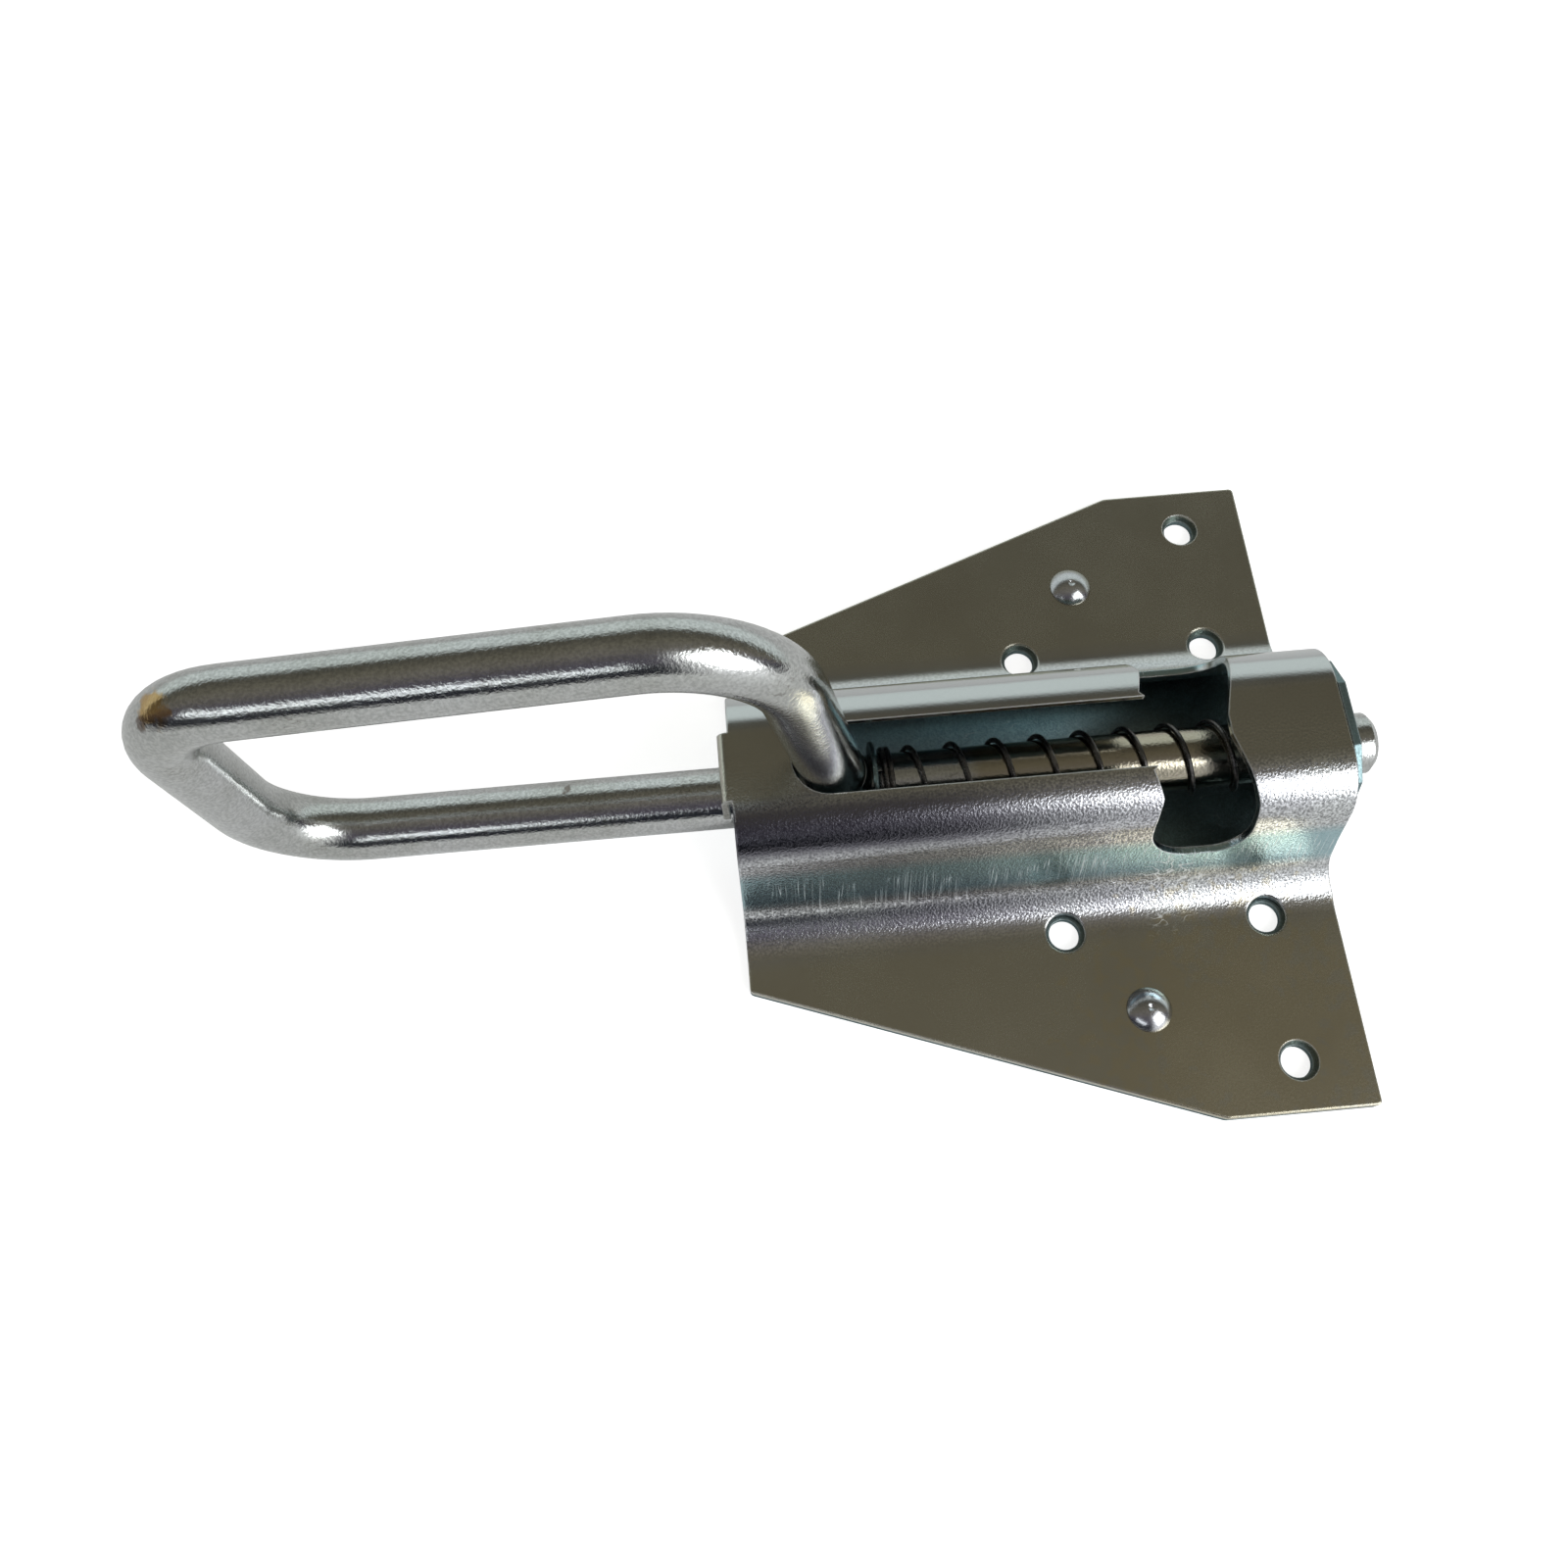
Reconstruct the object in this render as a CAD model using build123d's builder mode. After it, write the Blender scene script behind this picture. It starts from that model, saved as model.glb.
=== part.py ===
from build123d import *
from math import cos, radians, sin, sqrt, tan
import os

os.makedirs("parts", exist_ok=True)

# A spring-returned sliding bolt with a loop handle, in millimetres.
# X is the way the bolt shoots, Z points away from the door, Z = 0 is the mounting face.

# Bolt bar
bar_d = 12.7
bar_r = bar_d / 2
axis_z = 15.5
tip_x = 44.9
tip_chamfer = 1.2
low_corner_x = -179.9
high_corner_x = -181.8
loop_left_rise = 61.6
leg_corner_x = -78.4
loop_right_rise = 68.7
foot_x = -64.5
low_bend_r = 20.0
high_bend_r = 16.0
leg_bend_r = 24.5
leg_end_above_axis = 2.0

# Weld bead around the foot of the leg
bead_low = 1.5
bead_high = 9.0
bead_r = 7.0

# Sheets
sheet = 1.5
right_x = 35.5
left_x = -87.0
right_half_y = 71.5
left_half_y = 38.0
taper_end_x = 4.8
outer_corner_r = 1.0
taper_corner_r = 2.5

# Hat section of the front plate
crown_z = 32.5
crown_half_y = 16.0
wall_turn = 75.0
crown_r = 11.0
foot_r = 10.0
rim_r = 0.4

# Slot and lock notches
slot_half_y = 7.4
slot_arc_x = -67.5
notch_left_x = -5.3
notch_nib_x = -3.9
notch_nib_y = 13.8
notch_right_x = 11.2
notch_wall_x = 14.9
notch_wall_y = 16.0
notch_low_z = 15.4
notch_left_r = 8.5
notch_right_r = 7.0

# Lip at the left end of the crown
lip_half_y = 7.2
lip_low_z = 22.4
lip_bend_r = 0.6

# Ears of the back plate
ear_out_x = 35.5
ear_bend_r = 1.5
ear_half_y = 17.0
ear_top_half_y = 6.7
ear_shoulder_half_y = 13.2
ear_shoulder_z = 28.8
ear_side_z = 19.0
guide_out_x = -85.5
guide_half_y = 12.0
guide_top_z = 29.2
guide_chamfer = 5.0
relief = 2.5
bore_clearance = 0.25

# Fixing holes and rivets
front_hole_d = 8.0
back_hole_d = 6.4
inner_x = 21.0
inner_y = 31.5
outer_inset = 10.0
rivet_x = -6.8
rivet_inset = 22.7
rivet_head_r = 4.6
rivet_head_h = 2.4
rivet_shank_r = 2.5
rivet_sink_r = 3.6
rivet_sink_h = 1.1
rivet_dimple_r = 0.9
rivet_dimple_h = 0.45

# Spring and washer
washer_x = -58.6
washer_t = 1.0
washer_r = 9.0
washer_clearance = 0.1
wire_r = 0.55
wire_sides = 6
coil_r = 7.2
coil_count = 9.7
end_coils = 2
end_coil_turn = 15
end_coil_step = 1.0

wings_z = 2 * sheet
ear_in_x = ear_out_x - sheet
guide_in_x = guide_out_x + sheet
outer_y = right_half_y - outer_inset
rivet_y = right_half_y - rivet_inset
high_corner_z = axis_z + loop_left_rise
leg_corner_z = axis_z + loop_right_rise
set_back_y = ear_half_y + 3.0
set_back_end_y = ear_half_y + 11.0
far = 200.0


# Plan outline shared by both plates, with the middle of the right end set back for the ear
def plan_outline():
    with BuildLine() as side:
        FilletPolyline(
            (left_x, 0),
            (left_x, left_half_y),
            (taper_end_x, right_half_y),
            (right_x, right_half_y),
            (right_x, set_back_end_y),
            (ear_in_x, set_back_y),
            (ear_in_x, 0),
            radius=[outer_corner_r, taper_corner_r, outer_corner_r, 4.0, 4.0],
        )
    return side.line


# Places of the fixing holes, wider in the front plate than in the back plate
def hole_places():
    places = []
    for sx in (-1, 1):
        for sy in (-1, 1):
            places.append((sx * inner_x, sy * inner_y))
    for sy in (-1, 1):
        places.append((inner_x, sy * outer_y))
    return places


def rivet_places():
    return [(rivet_x, -rivet_y), (rivet_x, rivet_y)]


# Front plate: one pressed sheet with a raised channel, cut to the tapered outline
wall_run = (crown_z - wings_z) * tan(radians(90 - wall_turn))
inner_shift = sheet * tan(radians(wall_turn / 2))
wall_foot_y = crown_half_y + wall_run


# Height of the front plate's outer surface at a distance from the middle
def outer_height(y):
    lean = radians(wall_turn)
    crown_end = crown_half_y - crown_r * tan(lean / 2)
    wall_start = crown_end + crown_r * sin(lean)
    foot_end = wall_foot_y + foot_r * tan(lean / 2)
    wall_end = foot_end - foot_r * sin(lean)
    if y <= crown_end:
        return crown_z
    if y <= wall_start:
        return crown_z - crown_r + sqrt(max(crown_r ** 2 - (y - crown_end) ** 2, 0))
    if y <= wall_end:
        return crown_z - (y - crown_half_y) * tan(lean)
    if y <= foot_end:
        return wings_z + foot_r - sqrt(max(foot_r ** 2 - (foot_end - y) ** 2, 0))
    return wings_z


# Rims of the outer surface: its ends and sides and the fixing holes, but no seam along the channel
def on_outer_rim(edge):
    points = [edge @ share for share in (0, 0.25, 0.5, 0.75, 1)]
    if any(abs(point.Z - outer_height(abs(point.Y))) > 0.02 for point in points):
        return False
    along_channel = abs(points[0].Y - points[-1].Y) < 0.001 and abs(points[0].Y - points[2].Y) < 0.001
    return not along_channel or abs(points[0].Y) > outer_y


with BuildPart() as front_plate:
    with BuildSketch(Plane.YZ.offset(left_x)):
        with BuildLine():
            outer = FilletPolyline(
                (-far / 2, wings_z),
                (-wall_foot_y, wings_z),
                (-crown_half_y, crown_z),
                (crown_half_y, crown_z),
                (wall_foot_y, wings_z),
                (far / 2, wings_z),
                radius=[foot_r, crown_r, crown_r, foot_r],
            )
            inner = FilletPolyline(
                (-far / 2, wings_z - sheet),
                (-wall_foot_y + inner_shift, wings_z - sheet),
                (-crown_half_y + inner_shift, crown_z - sheet),
                (crown_half_y - inner_shift, crown_z - sheet),
                (wall_foot_y - inner_shift, wings_z - sheet),
                (far / 2, wings_z - sheet),
                radius=[foot_r + sheet, crown_r - sheet, crown_r - sheet, foot_r + sheet],
            )
            Line(outer @ 0, inner @ 0)
            Line(outer @ 1, inner @ 1)
        make_face()
    extrude(amount=right_x - left_x)
    with BuildSketch():
        with BuildLine():
            edge = plan_outline()
            add(edge)
            mirror(edge, about=Plane.XZ)
        make_face()
    extrude(amount=far, mode=Mode.INTERSECT)
    # Fixing holes and rolled rims, then the rivet holes
    with Locations(*hole_places()):
        Cylinder(front_hole_d / 2, 4 * wings_z, mode=Mode.SUBTRACT)
    fillet(front_plate.edges().filter_by(on_outer_rim), radius=rim_r)
    with Locations(*rivet_places()):
        Cylinder(rivet_shank_r, 4 * wings_z, mode=Mode.SUBTRACT)
    # Lip bent down over the left end of the channel
    with BuildSketch(Plane.XZ.offset(-lip_half_y)):
        with BuildLine():
            FilletPolyline(
                (left_x + 0.5, crown_z),
                (left_x - sheet - lip_bend_r, crown_z),
                (left_x - sheet - lip_bend_r, lip_low_z),
                radius=sheet + lip_bend_r,
            )
            FilletPolyline(
                (left_x + 0.5, crown_z - sheet),
                (left_x - lip_bend_r, crown_z - sheet),
                (left_x - lip_bend_r, lip_low_z),
                radius=lip_bend_r,
            )
            Line((left_x + 0.5, crown_z), (left_x + 0.5, crown_z - sheet))
            Line((left_x - sheet - lip_bend_r, lip_low_z), (left_x - lip_bend_r, lip_low_z))
        make_face()
    extrude(amount=2 * lip_half_y)
    # Slot for the leg of the handle
    with BuildSketch(Plane.XY.offset(crown_z - 8)):
        with BuildLine():
            Line((notch_left_x + 2, slot_half_y), (slot_arc_x, slot_half_y))
            ThreePointArc(
                (slot_arc_x, slot_half_y),
                (slot_arc_x - slot_half_y, 0),
                (slot_arc_x, -slot_half_y),
            )
            Line((slot_arc_x, -slot_half_y), (notch_left_x + 2, -slot_half_y))
            Line((notch_left_x + 2, -slot_half_y), (notch_left_x + 2, slot_half_y))
        make_face()
    extrude(amount=20, mode=Mode.SUBTRACT)

# Lock notches: the plan shape, kept above the height where the walls stop them
with BuildPart() as notch:
    with BuildSketch():
        with BuildLine():
            half = Polyline(
                (notch_left_x + 1, 0),
                (notch_left_x + 1, slot_half_y),
                (notch_left_x, slot_half_y + 1),
                (notch_nib_x, notch_nib_y),
                (notch_left_x, notch_nib_y + 4),
                (notch_left_x, wall_foot_y),
                (notch_wall_x, wall_foot_y),
                (notch_wall_x, notch_wall_y),
                (notch_right_x, 2),
                (notch_right_x, 0),
            )
            mirror(half, about=Plane.XZ)
        face = make_face()
        nibs = face.vertices().filter_by(lambda v: slot_half_y + 2 < abs(v.Y) < wall_foot_y - 2 and v.X < 0)
        fillet(nibs, radius=1.2)
    extrude(amount=far)
    with BuildSketch(Plane.XZ.offset(-far / 2)):
        with BuildLine():
            FilletPolyline(
                (notch_left_x, far / 2),
                (notch_left_x, notch_low_z),
                (notch_wall_x, notch_low_z),
                (notch_wall_x, far / 2),
                radius=[notch_left_r, notch_right_r],
            )
            Line((notch_wall_x, far / 2), (notch_left_x, far / 2))
        make_face()
    extrude(amount=far, mode=Mode.INTERSECT)

with front_plate:
    add(notch.part, mode=Mode.SUBTRACT)

# Back plate: flat, with an ear bent up at each end that guides the bolt bar
with BuildPart() as back_plate:
    with BuildSketch():
        with BuildLine():
            base_edge = plan_outline()
            add(base_edge)
            mirror(base_edge, about=Plane.XZ)
        make_face()
    extrude(amount=sheet)
    # Room for the bends, and a relief slot at each side of both ears
    with BuildSketch():
        with Locations((ear_in_x, 0)):
            Rectangle(2 * (ear_bend_r + sheet), 2 * (ear_half_y + relief))
        with Locations((guide_in_x, 0)):
            Rectangle(2 * (ear_bend_r + sheet), 2 * (guide_half_y + relief))
    extrude(amount=sheet, mode=Mode.SUBTRACT)
    # Right ear
    with BuildSketch(Plane.YZ.offset(ear_in_x)) as ear_sketch:
        with BuildLine():
            Polyline(
                (-ear_half_y, ear_bend_r + sheet),
                (-ear_half_y, ear_side_z),
                (-ear_shoulder_half_y, ear_shoulder_z),
                (-ear_top_half_y, crown_z),
                (ear_top_half_y, crown_z),
                (ear_shoulder_half_y, ear_shoulder_z),
                (ear_half_y, ear_side_z),
                (ear_half_y, ear_bend_r + sheet),
                close=True,
            )
        make_face()
        fillet(ear_sketch.vertices().filter_by(lambda v: v.Z > ear_side_z + 1), radius=1.2)
    extrude(amount=sheet)
    # Left ear, inside the channel
    with BuildSketch(Plane.YZ.offset(guide_out_x)):
        with BuildLine():
            Polyline(
                (-guide_half_y, ear_bend_r + sheet),
                (-guide_half_y, guide_top_z - guide_chamfer),
                (-guide_half_y + guide_chamfer, guide_top_z),
                (guide_half_y - guide_chamfer, guide_top_z),
                (guide_half_y, guide_top_z - guide_chamfer),
                (guide_half_y, ear_bend_r + sheet),
                close=True,
            )
        make_face()
    extrude(amount=sheet)
    # Bends between the flat plate and the ears
    with BuildSketch(Plane.XZ.offset(-ear_half_y)):
        with BuildLine():
            bend_x = ear_in_x - ear_bend_r
            bend_z = sheet + ear_bend_r
            Line((bend_x - sheet, 0), (bend_x, 0))
            RadiusArc((bend_x, 0), (ear_out_x, bend_z), -(ear_bend_r + sheet))
            Line((ear_out_x, bend_z), (ear_in_x, bend_z))
            RadiusArc((ear_in_x, bend_z), (bend_x, sheet), ear_bend_r)
            Line((bend_x, sheet), (bend_x - sheet, sheet))
            Line((bend_x - sheet, sheet), (bend_x - sheet, 0))
        make_face()
    extrude(amount=2 * ear_half_y)
    with BuildSketch(Plane.XZ.offset(-guide_half_y)):
        with BuildLine():
            turn_x = guide_in_x + ear_bend_r
            Line((turn_x + sheet, 0), (turn_x, 0))
            RadiusArc((turn_x, 0), (guide_out_x, bend_z), ear_bend_r + sheet)
            Line((guide_out_x, bend_z), (guide_in_x, bend_z))
            RadiusArc((guide_in_x, bend_z), (turn_x, sheet), -ear_bend_r)
            Line((turn_x, sheet), (turn_x + sheet, sheet))
            Line((turn_x + sheet, sheet), (turn_x + sheet, 0))
        make_face()
    extrude(amount=2 * guide_half_y)
    # Bores for the bolt bar
    with BuildSketch(Plane.YZ.offset(left_x - 5)):
        with Locations((0, axis_z)):
            Circle(bar_r + bore_clearance)
    extrude(amount=right_x - left_x + 10, mode=Mode.SUBTRACT)
    # Fixing holes, and rivet holes countersunk from the back
    with Locations(*hole_places()):
        Cylinder(back_hole_d / 2, 4 * wings_z, mode=Mode.SUBTRACT)
    with Locations(*rivet_places()):
        Cylinder(rivet_shank_r, 4 * wings_z, mode=Mode.SUBTRACT)
    with Locations(*[(x, y, rivet_sink_h / 2) for x, y in rivet_places()]):
        Cone(rivet_sink_r, rivet_shank_r, rivet_sink_h, mode=Mode.SUBTRACT)

# Bolt and handle: one round bar bent to a loop, its end welded to the bolt
leg_lean_x = leg_corner_x - foot_x
leg_rise = leg_corner_z - axis_z
leg_length = (leg_lean_x ** 2 + leg_rise ** 2) ** 0.5
lean_x = leg_lean_x / leg_length
lean_z = leg_rise / leg_length
leg_end = (foot_x + lean_x * leg_end_above_axis, axis_z + lean_z * leg_end_above_axis)

with BuildPart() as bolt_bar:
    with BuildLine(Plane.XZ) as bar_path:
        FilletPolyline(
            (tip_x, axis_z),
            (low_corner_x, axis_z),
            (high_corner_x, high_corner_z),
            (leg_corner_x, leg_corner_z),
            leg_end,
            radius=[low_bend_r, high_bend_r, leg_bend_r],
        )
    with BuildSketch(Plane.YZ.offset(tip_x)):
        with Locations((0, axis_z)):
            Circle(bar_r)
    sweep(path=bar_path.line)
    tip = bolt_bar.faces().sort_by(Axis.X)[-1]
    chamfer(tip.edges(), length=tip_chamfer)
    # Weld bead around the foot of the leg
    foot_plane = Plane(origin=(foot_x, 0, axis_z), x_dir=(lean_z, 0, -lean_x), z_dir=(0, -1, 0))
    with BuildSketch(foot_plane):
        with BuildLine():
            Polyline(
                (0, bead_low),
                (bar_r + 0.3, bead_low),
                (bead_r, 4.5),
                (bead_r - 0.2, 6.8),
                (bar_r + 0.05, bead_high),
                (0, bead_high),
                close=True,
            )
        make_face()
    revolve(axis=Axis((foot_x, 0, axis_z), (lean_x, 0, lean_z)))

# Washer between the foot of the leg and the spring
with BuildPart() as spring_washer:
    with BuildSketch(Plane.YZ.offset(washer_x)):
        with Locations((0, axis_z)):
            Circle(washer_r)
            Circle(bar_r + washer_clearance, mode=Mode.SUBTRACT)
    extrude(amount=washer_t)
    rims = spring_washer.edges().filter_by(GeomType.CIRCLE).group_by(SortBy.RADIUS)[-1]
    chamfer(rims, length=0.25)

# Return spring: open coils with closed coils at both ends
spring_start = washer_x + washer_t
closed_run = (end_coils - 1) * end_coil_step
active_start = spring_start + wire_r + closed_run
active_end = ear_in_x - wire_r - closed_run
pitch = (active_end - active_start) / coil_count

with BuildPart() as spring:
    with BuildLine() as coil_path:
        Helix(
            pitch=pitch,
            height=active_end - active_start,
            radius=coil_r,
            center=(active_start, 0, axis_z),
            direction=(1, 0, 0),
        )
    with BuildSketch(Plane(origin=coil_path.line @ 0, z_dir=coil_path.line % 0)):
        RegularPolygon(wire_r, wire_sides)
    sweep(path=coil_path.line, is_frenet=True)
    with BuildSketch(Plane.XZ):
        for ring in range(end_coils):
            with Locations(
                (active_start - ring * end_coil_step, axis_z + coil_r),
                (active_end + ring * end_coil_step, axis_z + coil_r),
            ):
                RegularPolygon(wire_r, wire_sides, rotation=end_coil_turn)
    revolve(axis=Axis((0, 0, axis_z), (1, 0, 0)))


# Rivet: domed head on the front, countersunk tail flush with the back
def rivet(x, y):
    dome_r = (rivet_head_r ** 2 + rivet_head_h ** 2) / (2 * rivet_head_h)
    dome_low = wings_z + rivet_head_h - dome_r
    with BuildPart() as body:
        with BuildSketch(Plane.XZ):
            with BuildLine():
                Line((0, 0), (rivet_sink_r, 0))
                Line((rivet_sink_r, 0), (rivet_shank_r, rivet_sink_h))
                Line((rivet_shank_r, rivet_sink_h), (rivet_shank_r, wings_z))
                Line((rivet_shank_r, wings_z), (rivet_head_r, wings_z))
                half_angle = radians(20)
                ThreePointArc(
                    (rivet_head_r, wings_z),
                    (dome_r * sin(half_angle), dome_low + dome_r * cos(half_angle)),
                    (0, wings_z + rivet_head_h),
                )
                Line((0, wings_z + rivet_head_h), (0, 0))
            make_face()
        revolve(axis=Axis.Z)
        with Locations((0, 0, wings_z + rivet_head_h - rivet_dimple_h / 2)):
            Cone(0, rivet_dimple_r, rivet_dimple_h, mode=Mode.SUBTRACT)
    return body.part.moved(Location((x, y, 0)))


front_plate.part.label = "front_plate"
export_step(front_plate.part, "parts/front_plate.step")
back_plate.part.label = "back_plate"
export_step(back_plate.part, "parts/back_plate.step")
bolt_bar.part.label = "bolt_bar"
export_step(bolt_bar.part, "parts/bolt_bar.step")
spring_washer.part.label = "spring_washer"
export_step(spring_washer.part, "parts/spring_washer.step")
spring.part.label = "spring"
export_step(spring.part, "parts/spring.step")

rivet_near = rivet(rivet_x, -rivet_y)
rivet_near.label = "rivet_near"
export_step(rivet_near, "parts/rivet_near.step")
rivet_far = rivet(rivet_x, rivet_y)
rivet_far.label = "rivet_far"
export_step(rivet_far, "parts/rivet_far.step")
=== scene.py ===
import math
import bpy
from mathutils import Matrix


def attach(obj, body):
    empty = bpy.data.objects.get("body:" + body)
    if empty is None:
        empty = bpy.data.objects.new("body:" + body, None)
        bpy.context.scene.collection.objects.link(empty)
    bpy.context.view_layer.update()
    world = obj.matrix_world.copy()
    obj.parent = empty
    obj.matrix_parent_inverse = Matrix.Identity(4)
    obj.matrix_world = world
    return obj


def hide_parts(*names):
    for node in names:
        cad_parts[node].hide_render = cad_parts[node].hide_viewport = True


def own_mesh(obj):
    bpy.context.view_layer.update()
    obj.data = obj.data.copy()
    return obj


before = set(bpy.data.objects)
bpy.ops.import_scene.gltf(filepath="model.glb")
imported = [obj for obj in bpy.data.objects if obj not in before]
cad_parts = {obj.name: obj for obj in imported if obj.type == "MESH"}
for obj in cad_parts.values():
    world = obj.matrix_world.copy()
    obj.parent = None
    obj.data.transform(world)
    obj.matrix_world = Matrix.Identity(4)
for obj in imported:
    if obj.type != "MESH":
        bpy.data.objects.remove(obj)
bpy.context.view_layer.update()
scene = bpy.context.scene
scene.view_settings.view_transform = "Standard"

# Sizes of the mechanism, in metres
axis_z = 0.0155
ear_face_x = 0.034
washer_face_x = -0.0576
wire_r = 0.00055
coil_r = 0.0072
left_closed_turns = 2.38
right_closed_turns = 2.0
open_turns = 9.6
closed_gap = 0.00004
wire_sides = 12
steps_per_turn = 32
screw_length = 0.1
edge_r = 0.00045
grain_height = 0.00005

# Camera at the photograph's viewing angle, with its turns in degrees
lens_mm = 30.534
sensor_mm = 36.0
camera_turn = (21.177, -1.051, -4.935)
camera_place = (-0.08145, -0.09721, 0.27149)

# Colours of the finishes
pale_zinc = (0.58, 0.60, 0.60, 1)
olive_zinc = (0.53, 0.505, 0.405, 1)
lilac_zinc = (0.50, 0.50, 0.535, 1)
shaded_teal_zinc = (0.24, 0.35, 0.37, 1)
wall_teal = (0.36, 0.53, 0.57, 1)
painted_shoulder_shade = (0.12, 0.115, 0.14, 1)
golden_zinc = (0.58, 0.51, 0.34, 1)
channel_shade_olive = (0.40, 0.35, 0.24, 1)
painted_edge_highlight = (0.86, 0.88, 0.87, 1)
bare_scratch = (0.92, 0.94, 0.93, 1)
inner_shade_zinc = (0.19, 0.23, 0.23, 1)
bar_zinc = (0.56, 0.57, 0.57, 1)
bar_shade = (0.48, 0.49, 0.47, 1)
amber_stain = (0.52, 0.30, 0.05, 1)
brown_spot = (0.10, 0.06, 0.04, 1)
dark_wire = (0.10, 0.10, 0.10, 1)
warm_wire = (0.16, 0.15, 0.14, 1)
loose_scratch = (0.8, 0.8, 0.78, 1)
sheet_scratch = (0.7, 0.72, 0.72, 1)
bar_scratch = (0.8, 0.8, 0.79, 1)
dark_pit = (0.16, 0.14, 0.12, 1)
grazing_tint = (0.3, 0.34, 0.34, 1)

# Colours of the studio
floor_glow = (0.55, 0.56, 0.55, 1)
far_wall = (0.76, 0.83, 0.81, 1)
ceiling_far = (0.078, 0.074, 0.06, 1)
ceiling = (0.175, 0.162, 0.125, 1)
ceiling_near = (0.20, 0.185, 0.16, 1)
near_wall = (0.105, 0.095, 0.12, 1)
right_glow = (1.1, 1.11, 1.12, 1)
near_gap = (0.02, 0.022, 0.03, 1)
paper_white = (0.8, 0.8, 0.8, 1)
backdrop_white = (1, 1, 1, 1)
floor_seen_glow = 0.80
floor_mirrored_glow = 0.18


# Node helpers shared by the floor, the studio and the finishes
def new_group(name, inputs, outputs):
    group = bpy.data.node_groups.new(name, "ShaderNodeTree")
    for socket_name, socket_type in inputs:
        group.interface.new_socket(socket_name, in_out="INPUT", socket_type=socket_type)
    for socket_name, socket_type in outputs:
        group.interface.new_socket(socket_name, in_out="OUTPUT", socket_type=socket_type)
    entry = group.nodes.new("NodeGroupInput")
    leave = group.nodes.new("NodeGroupOutput")
    return group, entry, leave


def feed(tree, socket, value):
    if isinstance(value, (int, float, tuple)):
        socket.default_value = value
    else:
        tree.links.new(value, socket)


def add_math(tree, operation, *values, clamp=False):
    node = tree.nodes.new("ShaderNodeMath")
    node.operation = operation
    node.use_clamp = clamp
    for slot, value in enumerate(values):
        feed(tree, node.inputs[slot], value)
    return node.outputs[0]


def add_colour_mix(tree, factor, first, second):
    node = tree.nodes.new("ShaderNodeMix")
    node.data_type = "RGBA"
    for slot, value in ((0, factor), (6, first), (7, second)):
        feed(tree, node.inputs[slot], value)
    return node.outputs[2]


def fade_in(tree, value, start, end):
    fade = tree.nodes.new("ShaderNodeMapRange")
    fade.interpolation_type = "SMOOTHSTEP"
    fade.inputs["From Min"].default_value = start
    fade.inputs["From Max"].default_value = end
    tree.links.new(value, fade.inputs["Value"])
    return fade.outputs[0]


def object_axes(tree):
    split = tree.nodes.new("ShaderNodeSeparateXYZ")
    tree.links.new(tree.nodes.new("ShaderNodeTexCoord").outputs["Object"], split.inputs[0])
    return split.outputs


def use_group(tree, group, values):
    node = tree.nodes.new("ShaderNodeGroup")
    node.node_tree = group
    for name, value in values.items():
        node.inputs[name].default_value = value
    return node


def place_camera():
    camera_data = bpy.data.cameras.new("camera")
    camera_data.lens = lens_mm
    camera_data.sensor_width = sensor_mm
    camera_data.clip_start = 0.01
    camera = bpy.data.objects.new("camera", camera_data)
    scene.collection.objects.link(camera)
    turn_x, turn_y, turn_z = camera_turn
    turn = (
        Matrix.Rotation(math.radians(turn_x), 3, "X")
        @ Matrix.Rotation(math.radians(turn_y), 3, "Y")
        @ Matrix.Rotation(math.radians(turn_z), 3, "Z")
    )
    camera.matrix_world = Matrix.Translation(camera_place) @ turn.to_4x4()
    scene.camera = camera


# Pale floor that keeps the shadow: it glows for the camera, and faintly in reflections
def add_floor():
    bpy.ops.mesh.primitive_plane_add(size=6, location=(0, 0, 0))
    floor = bpy.context.object
    floor.name = "floor"
    material = bpy.data.materials.new("floor paper")
    material.use_nodes = True
    tree = material.node_tree
    tree.nodes.clear()
    out = tree.nodes.new("ShaderNodeOutputMaterial")
    paper = tree.nodes.new("ShaderNodeBsdfDiffuse")
    paper.inputs["Color"].default_value = paper_white
    glow = tree.nodes.new("ShaderNodeEmission")
    rays = tree.nodes.new("ShaderNodeLightPath").outputs
    mirrored = add_math(tree, "MAXIMUM", rays["Is Glossy Ray"], rays["Is Transmission Ray"])
    faint = add_math(tree, "MULTIPLY", mirrored, floor_mirrored_glow)
    direct = add_math(tree, "MULTIPLY", rays["Is Camera Ray"], floor_seen_glow)
    tree.links.new(add_math(tree, "ADD", faint, direct), glow.inputs["Strength"])
    both = tree.nodes.new("ShaderNodeAddShader")
    tree.links.new(paper.outputs[0], both.inputs[0])
    tree.links.new(glow.outputs[0], both.inputs[1])
    tree.links.new(both.outputs[0], out.inputs["Surface"])
    floor.data.materials.append(material)


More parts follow.
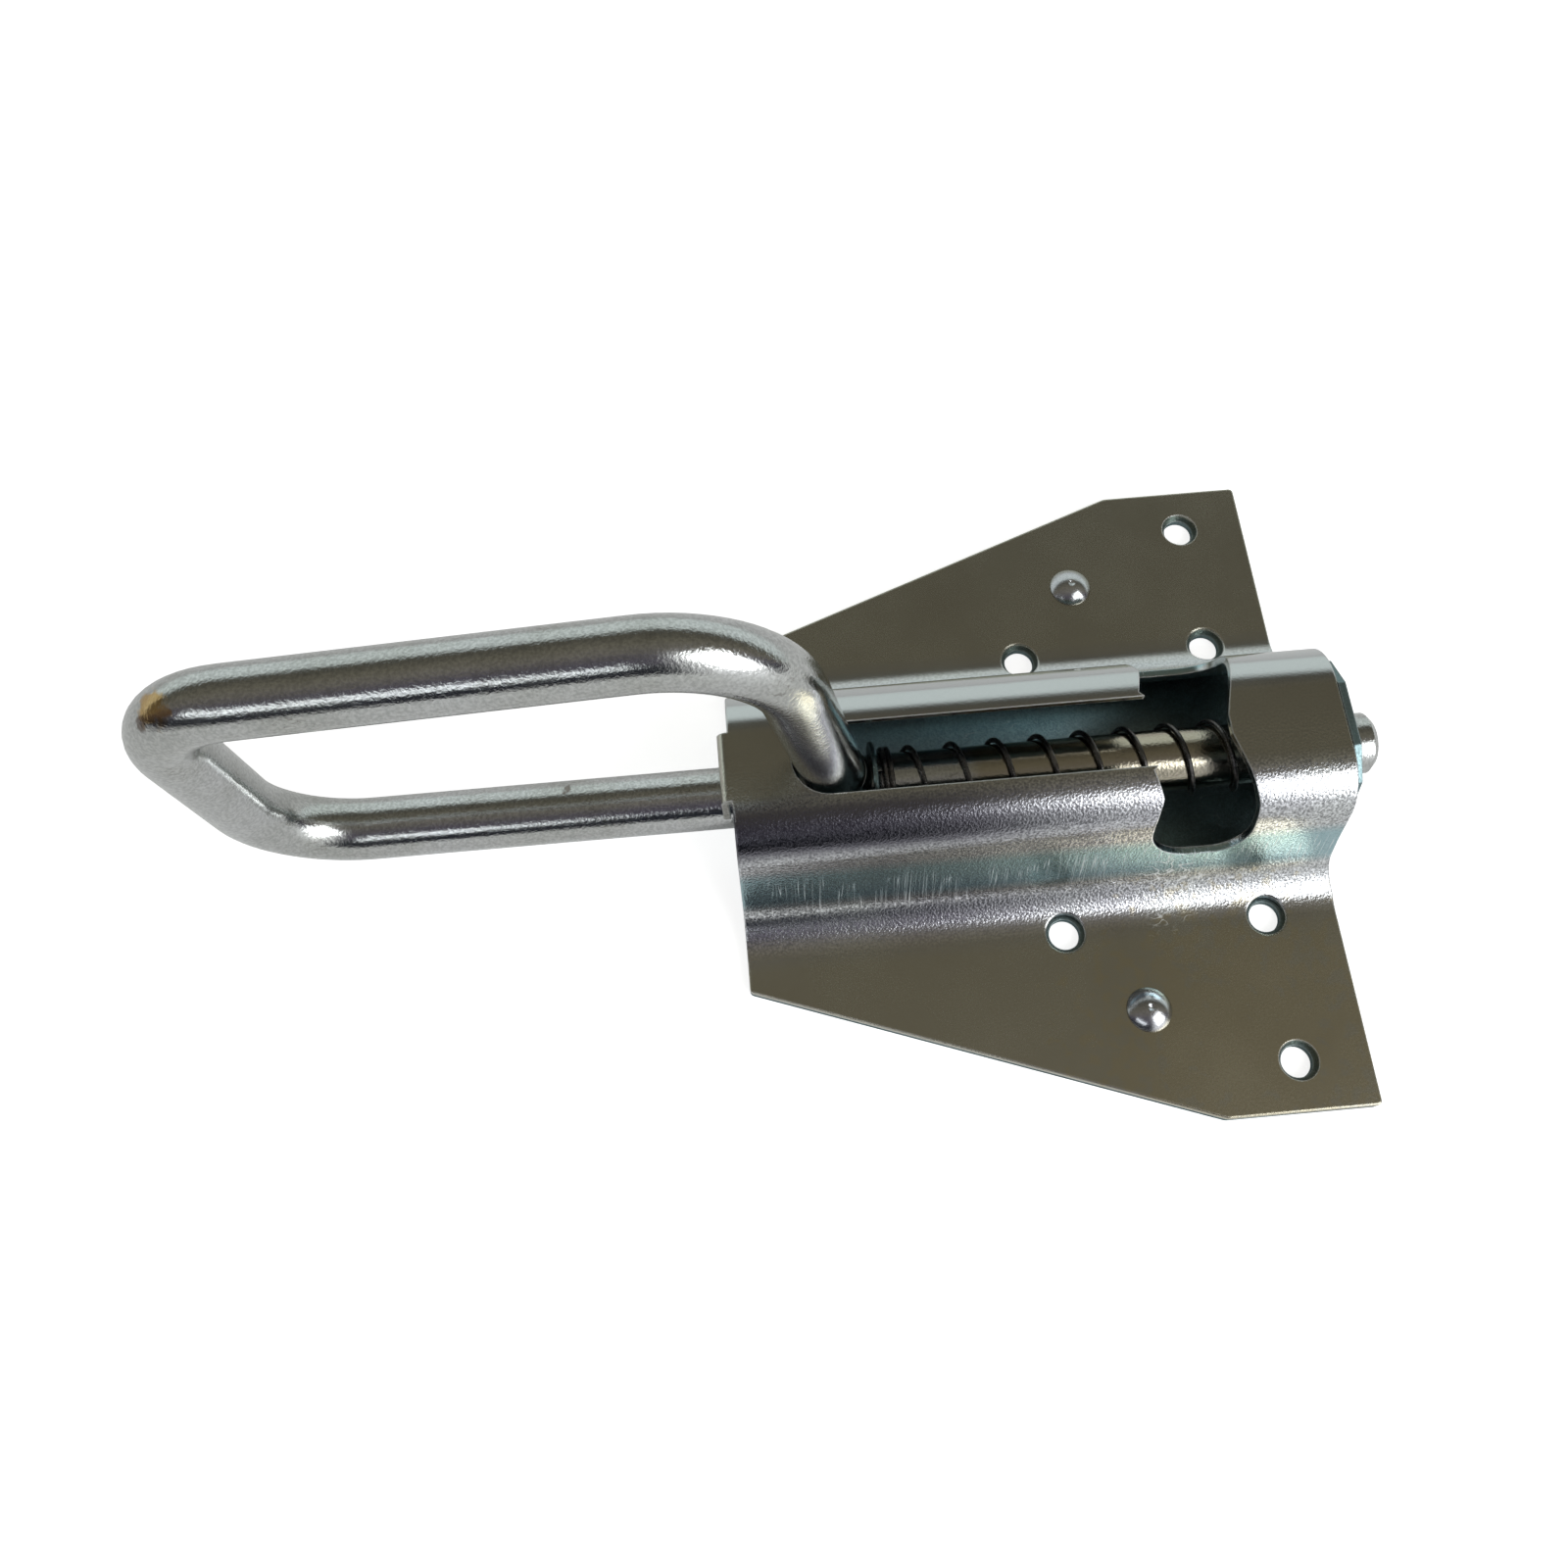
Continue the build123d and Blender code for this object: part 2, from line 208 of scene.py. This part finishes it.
# Studio round the bolt's line: a dark ceiling, a pale far wall and a dim near wall
def light_studio():
    world = bpy.data.worlds.new("studio")
    scene.world = world
    world.use_nodes = True
    tree = world.node_tree
    tree.nodes.clear()
    out = tree.nodes.new("ShaderNodeOutputWorld")
    coordinates = tree.nodes.new("ShaderNodeTexCoord")
    axes = tree.nodes.new("ShaderNodeSeparateXYZ")
    tree.links.new(coordinates.outputs["Generated"], axes.inputs[0])
    angle = add_math(tree, "ARCTAN2", axes.outputs["Y"], axes.outputs["Z"])
    share = tree.nodes.new("ShaderNodeMapRange")
    share.inputs["From Min"].default_value = math.pi
    share.inputs["From Max"].default_value = -math.pi
    tree.links.new(angle, share.inputs["Value"])
    ramp = tree.nodes.new("ShaderNodeValToRGB")
    stops = ramp.color_ramp.elements
    stops[0].position = 0.0
    stops[0].color = floor_glow
    stops[1].position = 1.0
    stops[1].color = floor_glow
    for turn, colour in (
        (-100, floor_glow),
        (-84, far_wall),
        (-52, far_wall),
        (-41, ceiling_far),
        (-8, ceiling),
        (14, ceiling_near),
        (42, near_wall),
        (56, near_wall),
        (66, near_gap),
        (99, near_gap),
        (108, floor_glow),
    ):
        stops.new((turn + 180) / 360).color = colour
    tree.links.new(share.outputs[0], ramp.inputs["Fac"])
    toward_right = fade_in(tree, axes.outputs["X"], 0.07, 0.46)
    toward_near = fade_in(tree, axes.outputs["Y"], -0.25, -0.60)
    lit = add_math(tree, "MULTIPLY", toward_right, toward_near)
    room = tree.nodes.new("ShaderNodeBackground")
    tree.links.new(add_colour_mix(tree, lit, ramp.outputs["Color"], right_glow), room.inputs["Color"])
    backdrop = tree.nodes.new("ShaderNodeBackground")
    backdrop.inputs["Color"].default_value = backdrop_white
    path = tree.nodes.new("ShaderNodeLightPath")
    mix = tree.nodes.new("ShaderNodeMixShader")
    tree.links.new(path.outputs["Is Camera Ray"], mix.inputs["Fac"])
    tree.links.new(room.outputs[0], mix.inputs[1])
    tree.links.new(backdrop.outputs[0], mix.inputs[2])
    tree.links.new(mix.outputs[0], out.inputs["Surface"])


def add_softbox(name, place, target, width, height, power, colour):
    data = bpy.data.lights.new(name, "AREA")
    data.shape = "RECTANGLE"
    data.size = width
    data.size_y = height
    data.energy = power
    data.color = colour
    lamp = bpy.data.objects.new(name, data)
    scene.collection.objects.link(lamp)
    lamp.location = place
    aim = Matrix.Translation(target).translation - Matrix.Translation(place).translation
    lamp.rotation_euler = aim.to_track_quat("-Z", "Y").to_euler()


# Mottled plating: two tints in soft clouds, a fine crystal grain and its roughness
def make_plating_group():
    group, entry, leave = new_group(
        "zinc plating",
        [
            ("Main tint", "NodeSocketColor"),
            ("Cloud tint", "NodeSocketColor"),
            ("Cloud size", "NodeSocketFloat"),
            ("Grain size", "NodeSocketFloat"),
            ("Grain depth", "NodeSocketFloat"),
            ("Smoothness", "NodeSocketFloat"),
        ],
        [("Color", "NodeSocketColor"), ("Roughness", "NodeSocketFloat"), ("Height", "NodeSocketFloat")],
    )
    place = group.nodes.new("ShaderNodeTexCoord").outputs["Object"]
    cloud = group.nodes.new("ShaderNodeTexNoise")
    cloud.inputs["Detail"].default_value = 4
    cloud.inputs["Roughness"].default_value = 0.6
    group.links.new(place, cloud.inputs["Vector"])
    group.links.new(entry.outputs["Cloud size"], cloud.inputs["Scale"])
    soft = group.nodes.new("ShaderNodeMapRange")
    soft.inputs["From Min"].default_value = 0.35
    soft.inputs["From Max"].default_value = 0.68
    group.links.new(cloud.outputs["Fac"], soft.inputs["Value"])
    grain = group.nodes.new("ShaderNodeTexNoise")
    grain.inputs["Detail"].default_value = 3
    group.links.new(place, grain.inputs["Vector"])
    group.links.new(entry.outputs["Grain size"], grain.inputs["Scale"])
    tint = add_colour_mix(group, soft.outputs[0], entry.outputs["Main tint"], entry.outputs["Cloud tint"])
    crisp = group.nodes.new("ShaderNodeMapRange")
    crisp.inputs["From Min"].default_value = 0.36
    crisp.inputs["From Max"].default_value = 0.64
    crisp.inputs["To Min"].default_value = -0.5
    crisp.inputs["To Max"].default_value = 0.5
    group.links.new(grain.outputs["Fac"], crisp.inputs["Value"])
    depth = add_math(group, "MULTIPLY", crisp.outputs[0], entry.outputs["Grain depth"])
    bright = add_math(group, "ADD", add_math(group, "MULTIPLY", depth, 1.8), 1.0)
    scaled = group.nodes.new("ShaderNodeVectorMath")
    scaled.operation = "SCALE"
    group.links.new(tint, scaled.inputs[0])
    group.links.new(bright, scaled.inputs["Scale"])
    group.links.new(scaled.outputs[0], leave.inputs["Color"])
    wave = add_math(group, "MULTIPLY", add_math(group, "SUBTRACT", cloud.outputs["Fac"], 0.5), 0.16)
    speck = add_math(group, "MULTIPLY", depth, -0.35)
    cloudy = add_math(group, "ADD", entry.outputs["Smoothness"], wave)
    rough = add_math(group, "ADD", cloudy, speck, clamp=True)
    group.links.new(rough, leave.inputs["Roughness"])
    group.links.new(add_math(group, "MULTIPLY", depth, 4.0), leave.inputs["Height"])
    return group


# Hairline scratches: thin broken lines along one direction
def make_scratch_group():
    group, entry, leave = new_group(
        "hairline scratches",
        [
            ("Stretch", "NodeSocketVector"),
            ("Width", "NodeSocketFloat"),
            ("Cover", "NodeSocketFloat"),
        ],
        [("Mask", "NodeSocketFloat")],
    )
    place = group.nodes.new("ShaderNodeTexCoord").outputs["Object"]
    stretched = group.nodes.new("ShaderNodeVectorMath")
    stretched.operation = "MULTIPLY"
    group.links.new(place, stretched.inputs[0])
    group.links.new(entry.outputs["Stretch"], stretched.inputs[1])
    lines = group.nodes.new("ShaderNodeTexNoise")
    lines.inputs["Scale"].default_value = 1.0
    lines.inputs["Detail"].default_value = 1
    group.links.new(stretched.outputs[0], lines.inputs["Vector"])
    off = add_math(group, "ABSOLUTE", add_math(group, "SUBTRACT", lines.outputs["Fac"], 0.5))
    wide = add_math(group, "DIVIDE", off, entry.outputs["Width"])
    thin = add_math(group, "SUBTRACT", 1.0, wide, clamp=True)
    patches = group.nodes.new("ShaderNodeTexNoise")
    patches.inputs["Scale"].default_value = 90.0
    group.links.new(place, patches.inputs["Vector"])
    limit = add_math(group, "SUBTRACT", 1.0, entry.outputs["Cover"])
    above = add_math(group, "SUBTRACT", patches.outputs["Fac"], limit)
    kept = add_math(group, "MULTIPLY", above, 8.0, clamp=True)
    group.links.new(add_math(group, "MULTIPLY", thin, kept), leave.inputs["Mask"])
    return group


# Ragged spot or stain round a point of the object
def make_spot_group():
    group, entry, leave = new_group(
        "ragged spot",
        [
            ("Centre", "NodeSocketVector"),
            ("Radius", "NodeSocketFloat"),
            ("Raggedness", "NodeSocketFloat"),
        ],
        [("Mask", "NodeSocketFloat")],
    )
    place = group.nodes.new("ShaderNodeTexCoord").outputs["Object"]
    gap = group.nodes.new("ShaderNodeVectorMath")
    gap.operation = "DISTANCE"
    group.links.new(place, gap.inputs[0])
    group.links.new(entry.outputs["Centre"], gap.inputs[1])
    ragged = group.nodes.new("ShaderNodeTexNoise")
    ragged.inputs["Scale"].default_value = 420.0
    ragged.inputs["Detail"].default_value = 3
    group.links.new(place, ragged.inputs["Vector"])
    share = add_math(group, "DIVIDE", gap.outputs["Value"], entry.outputs["Radius"])
    noise = add_math(group, "SUBTRACT", ragged.outputs["Fac"], 0.5)
    swing = add_math(group, "MULTIPLY", noise, entry.outputs["Raggedness"])
    uneven = add_math(group, "ADD", share, add_math(group, "MULTIPLY", swing, 3.0))
    edge = add_math(group, "SUBTRACT", 1.0, uneven)
    group.links.new(add_math(group, "MULTIPLY", edge, 3.0, clamp=True), leave.inputs["Mask"])
    return group


# Band along the plate: a stretch of Y on both sides of the bolt, soft at its edges
def make_band_group():
    group, entry, leave = new_group(
        "band beside the channel",
        [
            ("From", "NodeSocketFloat"),
            ("To", "NodeSocketFloat"),
            ("Softness", "NodeSocketFloat"),
        ],
        [("Mask", "NodeSocketFloat")],
    )
    side = add_math(group, "ABSOLUTE", object_axes(group)["Y"])
    past = add_math(group, "SUBTRACT", side, entry.outputs["From"])
    left = add_math(group, "SUBTRACT", entry.outputs["To"], side)
    rise = add_math(group, "DIVIDE", past, entry.outputs["Softness"], clamp=True)
    fall = add_math(group, "DIVIDE", left, entry.outputs["Softness"], clamp=True)
    group.links.new(add_math(group, "MULTIPLY", rise, fall), leave.inputs["Mask"])
    return group


plating = make_plating_group()
scratches = make_scratch_group()
spot = make_spot_group()
band = make_band_group()


# A metal finish made from the plating group, ready for scratches and stains
def new_metal(name, tint, cloud_tint, cloud_size, grain_size, grain_depth, smoothness, bump):
    material = bpy.data.materials.new(name)
    material.use_nodes = True
    tree = material.node_tree
    shader = tree.nodes["Principled BSDF"]
    shader.inputs["Metallic"].default_value = 1.0
    surface = use_group(tree, plating, {
        "Main tint": tint,
        "Cloud tint": cloud_tint,
        "Cloud size": cloud_size,
        "Grain size": grain_size,
        "Grain depth": grain_depth,
        "Smoothness": smoothness,
    })
    surface.name = "plating"
    relief = tree.nodes.new("ShaderNodeBump")
    relief.inputs["Strength"].default_value = bump
    relief.inputs["Distance"].default_value = grain_height
    rounded = tree.nodes.new("ShaderNodeBevel")
    rounded.name = "rounded edge"
    rounded.samples = 4
    rounded.inputs["Radius"].default_value = edge_r
    tree.links.new(rounded.outputs["Normal"], relief.inputs["Normal"])
    tree.links.new(surface.outputs["Height"], relief.inputs["Height"])
    tree.links.new(relief.outputs["Normal"], shader.inputs["Normal"])
    tree.links.new(surface.outputs["Roughness"], shader.inputs["Roughness"])
    tree.links.new(surface.outputs["Color"], shader.inputs["Base Color"])
    return material


# One more colour over the finish, where the mask is white
def lay_over(material, mask, colour, strength):
    tree = material.node_tree
    shader = tree.nodes["Principled BSDF"]
    under = shader.inputs["Base Color"].links[0].from_socket
    factor = add_math(tree, "MULTIPLY", mask, strength)
    tree.links.new(add_colour_mix(tree, factor, under, colour), shader.inputs["Base Color"])


# Light scratches and the painted edge highlights scatter the light more than sound plating does
def wear_through(material, mask, colour, strength):
    lay_over(material, mask, colour, strength)
    tree = material.node_tree
    shader = tree.nodes["Principled BSDF"]
    sound = add_math(tree, "SUBTRACT", 1.0, add_math(tree, "MULTIPLY", mask, 0.75))
    if shader.inputs["Metallic"].links:
        before = shader.inputs["Metallic"].links[0].from_socket
        sound = add_math(tree, "MULTIPLY", before, sound)
    tree.links.new(sound, shader.inputs["Metallic"])


# Painted highlight on the cut edges of the sheets: found where the rounded normal leaves the face's own
def paint_edge_highlights(material, strength):
    tree = material.node_tree
    face = tree.nodes.new("ShaderNodeNewGeometry")
    agree = tree.nodes.new("ShaderNodeVectorMath")
    agree.operation = "DOT_PRODUCT"
    tree.links.new(tree.nodes["rounded edge"].outputs["Normal"], agree.inputs[0])
    tree.links.new(face.outputs["Normal"], agree.inputs[1])
    lost = add_math(tree, "SUBTRACT", 1.0, agree.outputs["Value"])
    mask = add_math(tree, "MULTIPLY", add_math(tree, "SUBTRACT", lost, 0.03), 9.0, clamp=True)
    wear_through(material, mask, painted_edge_highlight, strength)


def add_spot(material, centre, radius, raggedness, colour, strength):
    mark = use_group(material.node_tree, spot, {
        "Centre": centre,
        "Radius": radius,
        "Raggedness": raggedness,
    })
    lay_over(material, mark.outputs["Mask"], colour, strength)


def band_mask(tree, start, end, softness):
    return use_group(tree, band, {"From": start, "To": end, "Softness": softness}).outputs["Mask"]


def scratch_mask(tree, stretch, width, cover):
    return use_group(tree, scratches, {"Stretch": stretch, "Width": width, "Cover": cover}).outputs["Mask"]


def finish_front_plate():
    grain = 0.55
    smoothness = 0.17
    material = new_metal(
        "front plate zinc", lilac_zinc, pale_zinc,
        cloud_size=30.0, grain_size=2000.0, grain_depth=grain, smoothness=smoothness, bump=0.22,
    )
    tree = material.node_tree
    plate = tree.nodes["plating"]
    axes = object_axes(tree)

    # Calmer and duller wings, and a smooth far side of the channel
    wings = band_mask(tree, 0.0275, 0.2, 0.007)
    far_half = fade_in(tree, axes["Y"], -0.004, 0.004)
    calm_wings = add_math(tree, "MULTIPLY", wings, 0.43)
    calm_far = add_math(tree, "MULTIPLY", far_half, 0.44)
    calm = add_math(tree, "MAXIMUM", calm_wings, calm_far)
    tree.links.new(add_math(tree, "SUBTRACT", grain, calm), plate.inputs["Grain depth"])
    duller = add_math(tree, "ADD", add_math(tree, "MULTIPLY", wings, 0.09), smoothness)
    tree.links.new(duller, plate.inputs["Smoothness"])

    # Olive wings and crown, with a golden patch on the near wing
    lay_over(material, wings, olive_zinc, 0.85)
    add_spot(material, (0.012, -0.058, 0.003), 0.030, 1.0, golden_zinc, 0.45)
    lay_over(material, band_mask(tree, -0.1, 0.0095, 0.003), olive_zinc, 0.7)

    # Painted shade on the near shoulder at the handle's end, painted pale sheen on the far shoulder
    low_end = fade_in(tree, axes["X"], -0.005, -0.055)
    shoulder_top = fade_in(tree, axes["Y"], -0.0065, -0.0110)
    shoulder_foot = fade_in(tree, axes["Y"], -0.0185, -0.0165)
    shoulder = add_math(tree, "MULTIPLY", shoulder_top, shoulder_foot)
    lay_over(material, add_math(tree, "MULTIPLY", shoulder, low_end), painted_shoulder_shade, 0.9)
    # Painted pale sheen on the far shoulder, between the slot and the wing
    beyond_slot = fade_in(tree, axes["Y"], 0.007, 0.0105)
    before_wing = fade_in(tree, axes["Y"], 0.027, 0.022)
    lay_over(material, add_math(tree, "MULTIPLY", beyond_slot, before_wing), pale_zinc, 0.9)

    # Teal walls with upright scratches
    lay_over(material, band_mask(tree, 0.0188, 0.0226, 0.0009), wall_teal, 0.9)
    upright = scratch_mask(tree, (1500.0, 30.0, 30.0), 0.025, 0.58)
    on_wall = band_mask(tree, 0.0192, 0.0245, 0.0012)
    wear_through(material, add_math(tree, "MULTIPLY", upright, on_wall), bare_scratch, 0.6)

    # Loose scratches everywhere, and curls rubbed into the foot under the notch
    lay_over(material, scratch_mask(tree, (60.0, 420.0, 60.0), 0.005, 0.40), loose_scratch, 0.35)
    curls = scratch_mask(tree, (260.0, 520.0, 260.0), 0.02, 0.7)
    rubbed = use_group(tree, spot, {"Centre": (0.0, -0.0240, 0.0065), "Radius": 0.010, "Raggedness": 0.3})
    on_foot = add_math(tree, "MULTIPLY", curls, rubbed.outputs["Mask"])
    wear_through(material, on_foot, bare_scratch, 0.9)
    # Painted highlight along the cut edges
    paint_edge_highlights(material, 0.75)
    return material


# Back plate: darker zinc tints, painted shade for a sheet that sits under the front plate
def finish_back_plate():
    material = new_metal(
        "back plate zinc", inner_shade_zinc, shaded_teal_zinc,
        cloud_size=26.0, grain_size=2400.0, grain_depth=0.16, smoothness=0.38, bump=0.5,
    )
    tree = material.node_tree
    tree.nodes["Principled BSDF"].inputs["Specular Tint"].default_value = grazing_tint
    lay_over(material, scratch_mask(tree, (70.0, 500.0, 70.0), 0.01, 0.45), sheet_scratch, 0.4)
    # Painted highlight along the cut edges
    paint_edge_highlights(material, 0.35)
    return material


# Bar: painted shade and its own olive tone where the spring runs, stained at the loop's far end, marked
# and pitted
def finish_bar():
    material = new_metal(
        "bar zinc", bar_zinc, bar_shade,
        cloud_size=45.0, grain_size=1700.0, grain_depth=0.16, smoothness=0.15, bump=0.5,
    )
    tree = material.node_tree
    axes = object_axes(tree)
    # Painted shade inside the channel, between the leg and the ear, partly the bar's own olive tone
    after_leg = fade_in(tree, axes["X"], -0.040, -0.036)
    before_ear = fade_in(tree, axes["X"], 0.034, 0.002)
    lay_over(material, add_math(tree, "MULTIPLY", after_leg, before_ear), channel_shade_olive, 0.75)
    add_spot(material, (-0.1764, -0.0015, 0.0812), 0.0038, 0.6, amber_stain, 0.75)
    add_spot(material, (-0.1788, -0.003, 0.0792), 0.0016, 0.5, brown_spot, 0.7)
    add_spot(material, (-0.1203, 0.003, 0.0212), 0.0011, 1.2, brown_spot, 0.7)
    lay_over(material, scratch_mask(tree, (50.0, 600.0, 600.0), 0.008, 0.4), bar_scratch, 0.35)
    lay_over(material, scratch_mask(tree, (420.0, 900.0, 900.0), 0.035, 0.45), dark_pit, 0.55)
    return material


# Washer: darker zinc tints, painted shade inside the channel
def finish_washer():
    return new_metal(
        "washer zinc", shaded_teal_zinc, inner_shade_zinc,
        cloud_size=60.0, grain_size=2600.0, grain_depth=0.2, smoothness=0.3, bump=0.3,
    )


def finish_rivet():
    return new_metal(
        "rivet zinc", pale_zinc, lilac_zinc,
        cloud_size=120.0, grain_size=2600.0, grain_depth=0.10, smoothness=0.2, bump=0.3,
    )


def finish_wire():
    return new_metal(
        "spring wire", dark_wire, warm_wire,
        cloud_size=200.0, grain_size=2500.0, grain_depth=0.3, smoothness=0.3, bump=0.3,
    )


def dress_nodes(finishes):
    for name, material in finishes.items():
        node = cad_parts[name]
        node.data.materials.clear()
        node.data.materials.append(material)


# Return spring: one wire with closed coils at both ends
def coil_travel(turn, total):
    closed_pitch = 2 * wire_r + closed_gap
    start = washer_face_x + wire_r
    end = ear_face_x - wire_r
    open_start = start + closed_pitch * left_closed_turns
    open_end = end - closed_pitch * right_closed_turns
    if turn <= left_closed_turns:
        return start + closed_pitch * turn
    if turn >= total - right_closed_turns:
        return end - closed_pitch * (total - turn)
    share = (turn - left_closed_turns) / open_turns
    return open_start + (open_end - open_start) * share


def make_spring(material):
    total = left_closed_turns + open_turns + right_closed_turns
    steps = int(total * steps_per_turn)
    bpy.ops.object.select_all(action="DESELECT")
    bpy.ops.mesh.primitive_circle_add(
        vertices=wire_sides,
        radius=wire_r,
        location=(0, 0, 0),
        rotation=(math.pi / 2, 0, 0),
    )
    spring = bpy.context.object
    spring.name = "return_spring"
    bpy.ops.object.transform_apply(location=True, rotation=True, scale=True)
    bpy.ops.object.mode_set(mode="EDIT")
    bpy.ops.mesh.select_all(action="SELECT")
    bpy.ops.transform.translate(value=(0, 0, coil_r))
    bpy.ops.object.mode_set(mode="OBJECT")
    screw = spring.modifiers.new("coil", "SCREW")
    screw.axis = "X"
    screw.angle = 2 * math.pi * total
    screw.screw_offset = screw_length
    screw.steps = steps
    screw.render_steps = steps
    screw.use_smooth_shade = True
    bpy.ops.object.modifier_apply(modifier="coil")
    for index, vertex in enumerate(spring.data.vertices):
        step = index // wire_sides
        vertex.co.x += coil_travel(total * step / steps, total) - screw_length * step / steps
        vertex.co.z += axis_z
    bpy.ops.object.mode_set(mode="EDIT")
    bpy.ops.mesh.select_all(action="DESELECT")
    bpy.ops.mesh.select_mode(type="EDGE")
    bpy.ops.mesh.select_non_manifold()
    bpy.ops.mesh.edge_face_add()
    bpy.ops.mesh.select_all(action="SELECT")
    bpy.ops.mesh.normals_make_consistent(inside=False)
    bpy.ops.object.mode_set(mode="OBJECT")
    spring.data.materials.append(material)
    return spring


place_camera()
add_floor()
light_studio()
add_softbox(
    "left strip", place=(-0.68, -0.92, 0.66), target=(-0.05, 0, 0.02),
    width=0.95, height=0.26, power=1.3, colour=(0.93, 0.98, 1.0),
)
add_softbox(
    "right window", place=(0.78, -0.72, 0.74), target=(0.0, 0, 0.02),
    width=0.8, height=0.95, power=9.5, colour=(0.97, 0.99, 1.0),
)

rivet_zinc = finish_rivet()
dress_nodes({
    "front_plate": finish_front_plate(),
    "back_plate": finish_back_plate(),
    "bolt_bar": finish_bar(),
    "spring_washer": finish_washer(),
    "rivet_near": rivet_zinc,
    "rivet_far": rivet_zinc,
})
return_spring = make_spring(finish_wire())
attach(return_spring, "housing")
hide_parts("spring")
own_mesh(return_spring)
